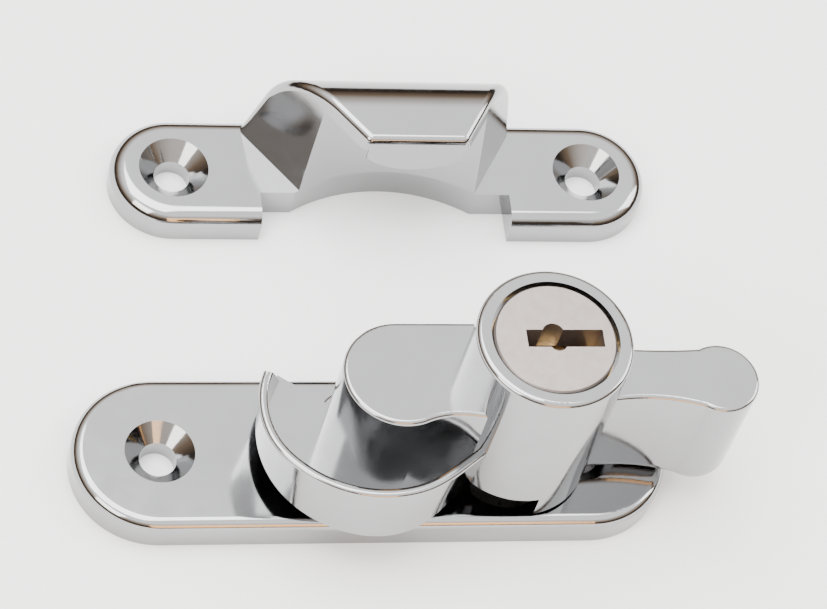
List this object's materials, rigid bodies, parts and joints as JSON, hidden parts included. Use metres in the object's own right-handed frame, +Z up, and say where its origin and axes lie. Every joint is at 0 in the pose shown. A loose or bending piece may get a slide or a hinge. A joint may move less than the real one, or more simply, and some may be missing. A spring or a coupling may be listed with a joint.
{
  "type": "keyed window lock",
  "caption": "Keyed sash window lock: chrome lever with a lock barrel, curved neck, thumb piece and spiral cam cup on a round-ended plate, with a hooded hook keeper.",
  "frame": {"origin": "on the lever's pivot axis at the underside of the base plate", "axes": "+X along the plate towards the thumb piece, +Y towards the keeper, +Z up off the plate"},
  "size_m": [0.0723, 0.0559, 0.0274],
  "materials": {
    "chrome_base": "mirror-polished chrome plate",
    "chrome_lever": "mirror-polished chrome plate",
    "chrome_keeper": "mirror-polished chrome plate",
    "plug_nickel": "satin nickel",
    "brass": "drawn brass",
    "steel": "turned steel",
    "spring_steel": "spring steel"
  },
  "bodies": {
    "base": {"base_plate": "chrome_base", "pivot_post": "steel", "thrust_washer": "brass", "spring_washer": "spring_steel"},
    "lever": {"lever": "chrome_lever", "retaining_pin": "steel", "lock_sleeve": "brass", "sleeve_grub_screw": "steel", "barrel_base_cover": "steel"},
    "plug": {"lock_plug": "plug_nickel", "plug_circlip": "spring_steel", "drive_cam": "steel", "cam_screw": "steel", "wafer_spring_1": "spring_steel", "wafer_spring_2": "spring_steel", "wafer_spring_3": "spring_steel", "wafer_spring_4": "spring_steel", "wafer_spring_5": "spring_steel"},
    "wafers": {"wafer_1": "brass", "wafer_2": "brass", "wafer_3": "brass", "wafer_4": "brass", "wafer_5": "brass"},
    "bolt": {"lock_bolt": "steel"},
    "keeper": {"keeper": "chrome_keeper"}
  },
  "joints": [
    {"name": "lever_turn", "type": "hinge", "parent": "base", "child": "lever", "pos_m": [0, 0, 0], "axis": [0, 0, 1], "range_deg": [-90, 0]},
    {"name": "key_turn", "type": "hinge", "parent": "lever", "child": "plug", "pos_m": [0.01514, 0, 0], "axis": [0, 0, 1], "range_deg": [0, 90]},
    {"name": "wafer_lift", "type": "slide", "parent": "plug", "child": "wafers", "axis": [1, 0, 0], "range_m": [0, 0.0005], "stiffness_N_per_m": 200},
    {"name": "bolt_slide", "type": "slide", "parent": "lever", "child": "bolt", "axis": [-1, 0, 0], "range_m": [0, 0.0017]},
    {"name": "keeper_approach", "type": "slide", "parent": "base", "child": "keeper", "axis": [-0.2938, -0.9559, 0], "range_m": [0, 0.02145]}
  ],
  "couplings": [
    {"joint": "bolt_slide", "follows": "key_turn", "m_per_rad": 0.0010804}
  ]
}
